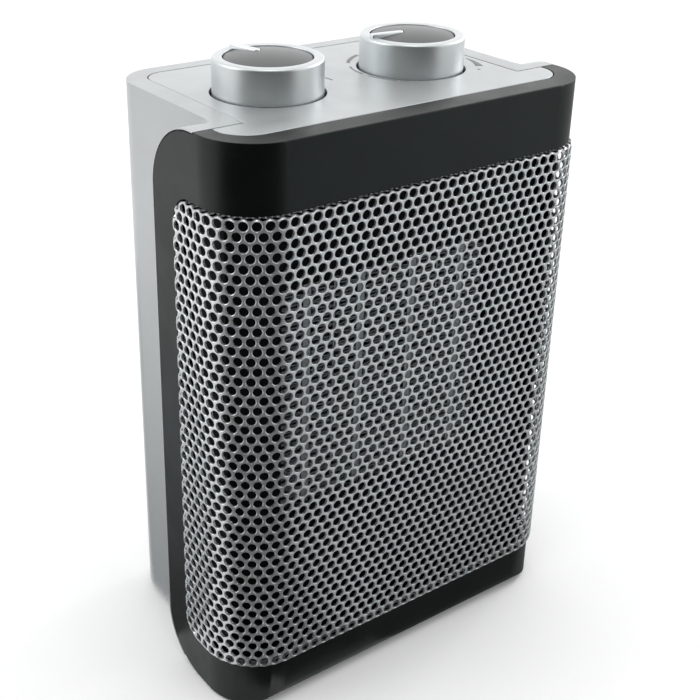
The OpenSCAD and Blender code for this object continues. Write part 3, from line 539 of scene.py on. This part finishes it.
def perforated_front():
    cell, cell_faces = perforated_cells()
    reach = SHEET_RETURN + HOLE_PITCH
    columns = math.ceil((HALF_WRAP + reach) / HOLE_PITCH)
    first = math.floor((GRILLE_LOW[2] - reach - FIRST_ROW_Z) / ROW_PITCH)
    last = math.ceil((GRILLE_HIGH[2] + reach - FIRST_ROW_Z) / ROW_PITCH)
    verts, faces = [], []
    for row in range(first, last + 1):
        z = FIRST_ROW_Z + row * ROW_PITCH
        for column in range(-columns, columns + 1):
            u = (column + (row % 2) / 2) * HOLE_PITCH
            start = len(verts)
            verts += [(u + x, d, z + h) for x, d, h in cell]
            faces += [tuple(start + k for k in face) for face in cell_faces]
    mesh = mesh_of("front_grille_sheet", verts, faces)
    bm = bmesh.new()
    bm.from_mesh(mesh)
    bmesh.ops.remove_doubles(bm, verts=bm.verts, dist=0.01 * MM)
    for point, normal in sheet_limits():
        geometry = bm.verts[:] + bm.edges[:] + bm.faces[:]
        cut = bmesh.ops.bisect_plane(bm, geom=geometry, dist=0.001 * MM, plane_co=point,
                                     plane_no=normal, clear_outer=True)
        edges = [e for e in cut["geom_cut"] if isinstance(e, bmesh.types.BMEdge)]
        bmesh.ops.holes_fill(bm, edges=[e for e in edges if e.is_boundary], sides=0)
    for vert in bm.verts:
        vert.co = bend_sheet(vert.co)
    bmesh.ops.recalc_face_normals(bm, faces=bm.faces)
    bm.to_mesh(mesh)
    bm.free()
    smooth(mesh, 38)
    add_piece("front_grille_sheet", mesh, GRILLE, "heater", ["front_grille"])


# ---------------------------------------------------------------- heating element

def fin_strip(x0, x1, verts, faces):
    """One corrugated strip between x0 and x1: rounded folds, thin foil."""
    steps = 8
    total = FIN_FOLDS * steps
    for i in range(total + 1):
        phase = 2 * math.pi * i / steps
        swing = math.copysign(abs(math.cos(phase)) ** 0.6, math.cos(phase))
        x = (x0 + x1) / 2 + swing * ((x1 - x0) / 2 - FIN_T / 2)
        z = FIN_LOW[2] + (FIN_HIGH[2] - FIN_LOW[2]) * i / total
        verts += [(x, FIN_LOW[1], z), (x, FIN_HIGH[1], z)]
    start = len(verts) - 2 * (total + 1)
    faces += [(start + 2 * i, start + 2 * i + 1, start + 2 * i + 3, start + 2 * i + 2)
              for i in range(total)]


def heating_fins():
    """A strip on each side of each bar, reaching to the divider between two bars."""
    verts, faces = [], []
    for i in (-1.5, -0.5, 0.5, 1.5):
        bar = i * BAR_PITCH
        fin_strip(bar + BAR_HALF, bar + BAR_PITCH / 2 - DIVIDER_HALF, verts, faces)
        fin_strip(bar - BAR_PITCH / 2 + DIVIDER_HALF, bar - BAR_HALF, verts, faces)
    mesh = mesh_of("heating_fin_foil", verts, faces)
    piece = add_piece("heating_fin_foil", mesh, ELEMENT, "heater", ["heating_fins"])
    solid = piece.modifiers.new("foil", "SOLIDIFY")
    solid.thickness = FIN_T
    solid.offset = 0
    apply_modifiers(piece)
    smooth(piece.data, 50)


# ---------------------------------------------------------------- knobs

def knob_ring(name, x, body):
    """The bright ring: a drum with a rounded rim, its floor hidden under the cap."""
    inside = KNOB_R - RIM_W
    profile = [(inside, KNOB_LOW), (KNOB_R, KNOB_LOW)]
    profile += arc(KNOB_R - RIM_FILLET, RIM_Z - RIM_FILLET, RIM_FILLET, 0, 90, 10)
    profile += arc(inside + RIM_INNER_FILLET, RIM_Z - RIM_INNER_FILLET, RIM_INNER_FILLET, 90, 180, 6)
    profile += [(inside, RING_FLOOR_TOP), (RING_BORE, RING_FLOOR_TOP), (RING_BORE, RING_FLOOR_LOW),
                (inside, RING_FLOOR_LOW), (inside, KNOB_LOW)]
    verts, faces = lathe(profile, (x, KNOB_Y))
    mesh = mesh_of(name, verts, faces)
    bm = bmesh.new()
    bm.from_mesh(mesh)
    bmesh.ops.remove_doubles(bm, verts=bm.verts, dist=0.001 * MM)
    bmesh.ops.recalc_face_normals(bm, faces=bm.faces)
    bm.to_mesh(mesh)
    bm.free()
    smooth(mesh, 30)
    material = spun_metal(name + "_plating", 0.7, 0.38, (x, KNOB_Y))
    add_piece(name, mesh, material, body, [body + "_knob"])


def pointer_outline(grow):
    """Plan of the pointer along +X, round at its inner end, with its sides moved out by grow."""
    steps = 10
    half = POINTER_W / 2 + grow
    points = [(POINTER_OUT, -half), (POINTER_OUT, half)]
    for i in range(steps + 1):
        a = math.pi / 2 + math.pi * i / steps
        points.append((POINTER_IN + half * math.cos(a), half * math.sin(a)))
    return points


def pointer_block(name, x, body, grow, low, high):
    """The pointer's outline as an upright block, turned to where the knob stands."""
    bm = bmesh.new()
    outline = pointer_outline(grow)
    bottom = [bm.verts.new((px, py, low)) for px, py in outline]
    top = [bm.verts.new((px, py, high)) for px, py in outline]
    bm.faces.new(bottom[::-1])
    bm.faces.new(top)
    for i in range(len(outline)):
        j = (i + 1) % len(outline)
        bm.faces.new((bottom[i], bottom[j], top[j], top[i]))
    turn = Matrix.Translation((x, KNOB_Y, 0)) @ Matrix.Rotation(POINTER_ANGLE[body], 4, "Z")
    bmesh.ops.transform(bm, matrix=turn, verts=bm.verts)
    bmesh.ops.recalc_face_normals(bm, faces=bm.faces)
    mesh = bpy.data.meshes.new(name)
    bm.to_mesh(mesh)
    bm.free()
    obj = bpy.data.objects.new(name, mesh)
    bpy.context.scene.collection.objects.link(obj)
    return obj


def knob_pointer(name, x, body):
    """The bright bar from the cap's middle out over the rim."""
    piece = pointer_block(name, x, body, 0.0, POINTER_LOW, POINTER_TOP)
    dress(piece, spun_metal(name + "_plating", 0.8, 0.3, (x, KNOB_Y)))
    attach(piece, body)
    bevel = piece.modifiers.new("round", "BEVEL")
    bevel.width = POINTER_ROUND
    bevel.segments = 3
    bevel.limit_method = "ANGLE"
    bevel.angle_limit = math.radians(40)
    apply_modifiers(piece)
    smooth(piece.data, 50)


def knob_cap(name, x, body):
    """The grey domed disc inside the ring, slotted for the pointer."""
    edge = RIM_Z - CAP_DROP
    rise = CAP_DROP + CAP_RISE
    ball = (CAP_R ** 2 + rise ** 2) / (2 * rise)
    steps = 22
    profile = [(CAP_R - CAP_CHAMFER, RING_FLOOR_TOP), (CAP_R, CAP_WALL_LOW), (CAP_R, edge - CAP_ROUND)]
    for i in range(steps):
        r = (CAP_R - CAP_ROUND) * (1 - i / steps)
        profile.append((r, edge + rise - ball + math.sqrt(ball ** 2 - r ** 2)))
    profile.append((CAP_TIP_R, edge + rise))
    verts, faces = lathe(profile, (x, KNOB_Y))
    mesh = mesh_of(name, verts, faces)
    bm = bmesh.new()
    bm.from_mesh(mesh)
    bmesh.ops.holes_fill(bm, edges=[e for e in bm.edges if e.is_boundary], sides=0)
    bmesh.ops.recalc_face_normals(bm, faces=bm.faces)
    bm.to_mesh(mesh)
    bm.free()
    material = spun_metal(name + "_paint", 0.13, 0.36, (x, KNOB_Y), 0.6, 6000)
    piece = add_piece(name, mesh, material, body, [body + "_cap"])
    cutter = pointer_block(name + "_slot", x, body, POINTER_GAP, SLOT_LOW, SLOT_TOP)
    cut = piece.modifiers.new("slot", "BOOLEAN")
    cut.operation = "DIFFERENCE"
    cut.solver = "EXACT"
    cut.object = cutter
    apply_modifiers(piece)
    bpy.data.objects.remove(cutter)
    smooth(piece.data, 30)


def knobs():
    for body, x in KNOB_X.items():
        knob_ring(body + "_ring", x, body)
        knob_pointer(body + "_pointer", x, body)
        knob_cap(body + "_disc", x, body)


# ---------------------------------------------------------------- dial marks

INK_T = 0.05 * MM


def ink_band(verts, faces, x, start, end, inner, outer, steps=14):
    """A printed arc round a knob: angles in degrees; inner and outer are (first, last) radii."""
    base = len(verts)
    for i in range(steps + 1):
        t = i / steps
        a = math.radians(start + (end - start) * t)
        for r in (inner[0] + (inner[1] - inner[0]) * t, outer[0] + (outer[1] - outer[0]) * t):
            px, py = x + r * math.cos(a), KNOB_Y + r * math.sin(a)
            verts += [(px, py, TOP_Z - INK_T), (px, py, TOP_Z + INK_T)]
    for i in range(steps):
        p = base + 4 * i
        q = p + 4
        faces += [(p + 1, q + 1, q + 3, p + 3), (p, p + 2, q + 2, q), (p, q, q + 1, p + 1),
                  (p + 2, p + 3, q + 3, q + 2)]
    end_p = base + 4 * steps
    faces += [(base, base + 1, base + 3, base + 2), (end_p, end_p + 2, end_p + 3, end_p + 1)]


def dial_marks():
    verts, faces = [], []

    def band(x, start, end, inner, outer):
        ink_band(verts, faces, x, start, end, [r * MM for r in inner], [r * MM for r in outer])

    # thermostat: a band that swells with the heat, broken scale arcs and a stop dot
    x = KNOB_X["thermostat"]
    band(x, -4, -31, (26.9, 25.4), (27.3, 28.6))
    band(x, -41, -43.5, (25.7, 25.7), (26.9, 26.9))
    band(x, 104, 135, (25.4, 23.9), (27.2, 25.3))
    band(x, 149, 178, (23.3, 22.7), (24.1, 23.4))
    band(x, 185, 217, (22.3, 22.3), (22.6, 22.6))
    band(x, 185, 217, (23.0, 23.0), (23.3, 23.3))
    band(x, 220, 229, (22.3, 22.3), (23.1, 23.1))
    # selector: one stroke at its last stop
    band(KNOB_X["selector"], 0, 9, (28.4, 28.4), (29.2, 29.2))
    mesh = mesh_of("dial_marks", verts, faces)
    add_piece("dial_marks", mesh, INK, "heater", ())


# ---------------------------------------------------------------- stage, camera, light

# where the camera stands, how it is turned, in degrees, and its lens
CAMERA_AT = (-0.27305, -0.355, 0.3481)
CAMERA_BEARING = -36.086
CAMERA_DOWN = 24.57
CAMERA_ROLL = 0.943
LENS = 62.7
LENS_SHIFT = (0.0552, -0.0882)

# cloths round the heater that only reflections show: first and last bearing from straight ahead of
# the front and how high they rise, all in degrees, and their grey; one that rises 0 lies flat
CURTAINS = {
    "dark_side": (-96, 20, 60, 0.01),
    "pale_side": (20, 62, 0, 0.55),
    "grey_side": (62, 112, 0, 0.3),
}
# how far away a cloth ends or rises from the floor
CURTAIN_R = 1.1
# how far cloths and cards lie over the floor, and the gap from the shell to the first card
CARD_Z = 0.002
CARD_GAP = 0.002
LIGHT_TARGET = (0, 0, 0.12)


def floor():
    size = 30
    verts = [(-size, -size, 0), (size, -size, 0), (size, size, 0), (-size, size, 0)]
    obj = bpy.data.objects.new("studio_floor", mesh_of("studio_floor", verts, [(0, 1, 2, 3)]))
    bpy.context.scene.collection.objects.link(obj)
    dress(obj, studio_floor())


def look_at(position, target):
    way = Vector(position) - Vector(target)
    return way.to_track_quat("Z", "Y").to_matrix().to_4x4()


def camera():
    data = bpy.data.cameras.new("camera")
    data.lens = LENS
    data.shift_x, data.shift_y = LENS_SHIFT
    data.clip_start = 0.01
    obj = bpy.data.objects.new("camera", data)
    turn = (Matrix.Rotation(math.radians(CAMERA_BEARING), 4, "Z")
            @ Matrix.Rotation(math.radians(90 - CAMERA_DOWN), 4, "X")
            @ Matrix.Rotation(math.radians(CAMERA_ROLL), 4, "Z"))
    obj.matrix_world = Matrix.Translation(CAMERA_AT) @ turn
    bpy.context.scene.collection.objects.link(obj)
    bpy.context.scene.camera = obj


def softbox(name, position, size, power):
    data = bpy.data.lights.new(name, "AREA")
    data.shape = "RECTANGLE"
    data.size, data.size_y = size
    data.energy = power
    obj = bpy.data.objects.new(name, data)
    obj.matrix_world = Matrix.Translation(position) @ look_at(position, LIGHT_TARGET)
    obj.visible_camera = False
    bpy.context.scene.collection.objects.link(obj)


def reflected_only(name, verts, faces, value):
    """A sheet in the studio that only glossy surfaces see."""
    obj = bpy.data.objects.new(name, mesh_of(name, verts, faces))
    bpy.context.scene.collection.objects.link(obj)
    s = Shader(name + "_cloth", shade(value), 0.9)
    mottled(s, value, 0.1)
    dress(obj, s.material)
    obj.visible_camera = False
    obj.visible_diffuse = False
    obj.visible_shadow = False
    obj.visible_transmission = False
    return obj


def curtain(name, start, end, high, value):
    """A sector of the studio: a cloth on the floor that may rise into a curtain."""
    steps = 16
    profile = [(0.02, 0.0), (0.3, 0.0), (0.7, 0.0)]
    profile += [(CURTAIN_R * math.cos(e), CURTAIN_R * math.sin(e))
                for e in (math.radians(high * i / 8) for i in range(9 if high else 1))]
    verts, faces = [], []
    for i in range(steps + 1):
        a = math.radians(start + (end - start) * i / steps - 90)
        verts += [(r * math.cos(a), r * math.sin(a), z) for r, z in profile]
    n = len(profile)
    for i in range(steps):
        faces += [(i * n + k, (i + 1) * n + k, (i + 1) * n + k + 1, i * n + k + 1) for k in range(n - 1)]
    obj = reflected_only(name, verts, faces, value)
    obj.location = (-0.03, FRONT_Y - 0.01, CARD_Z)


def floor_card(name, near, far, value):
    """A level rectangle just over the floor between two corners."""
    corners = ((near[0], near[1]), (far[0], near[1]), (far[0], far[1]), (near[0], far[1]))
    reflected_only(name, [(x, y, CARD_Z) for x, y in corners], [(0, 1, 2, 3)], value)


def floor_cards():
    """Cards beside the shell, lighter with distance, so that its side darkens downwards, and
    one in front."""
    near = -SHELL_SIDE - CARD_GAP
    for i, value in enumerate((0.2, 0.4, 0.6)):
        far = near - 0.04 - 0.015 * i
        floor_card("side_card_%d" % i, (near, FRONT_Y + 0.055), (far, 0.4), value)
        near = far
    floor_card("front_card", (-SIDE_X, FRONT_Y - 0.006), (SIDE_X + 0.03, FRONT_Y - 0.16), 0.04)


def lights():
    world = bpy.data.worlds.new("studio")
    bpy.context.scene.world = world
    world.use_nodes = True
    background = world.node_tree.nodes["Background"]
    background.inputs["Color"].default_value = (1, 1, 1, 1)
    background.inputs["Strength"].default_value = 1.0
    softbox("left_box", (-0.55, 0.3, 0.6), (0.5, 0.5), 1.2)
    softbox("back_box", (0.9, 1.4, 0.5), (1.6, 0.8), 1.6)
    softbox("right_box", (0.95, 0.0, 0.65), (0.5, 0.5), 3.0)
    softbox("top_box", (-0.1, -0.2, 1.3), (0.4, 0.4), 1.2)


def stage():
    camera()
    floor()
    for name, cloth in CURTAINS.items():
        curtain(name, *cloth)
    floor_cards()
    lights()
    bpy.context.scene.view_settings.view_transform = "Standard"


# ---------------------------------------------------------------- the heater

dress_nodes()
stage()
perforated_front()
heating_fins()
knobs()
dial_marks()
rounded_copy("front_frame", BLACK, 0.6 * MM)
rounded_copy("rear_shell", SILVER, 0.5 * MM)
rounded_copy("top_plate", PLATE, 0.35 * MM)
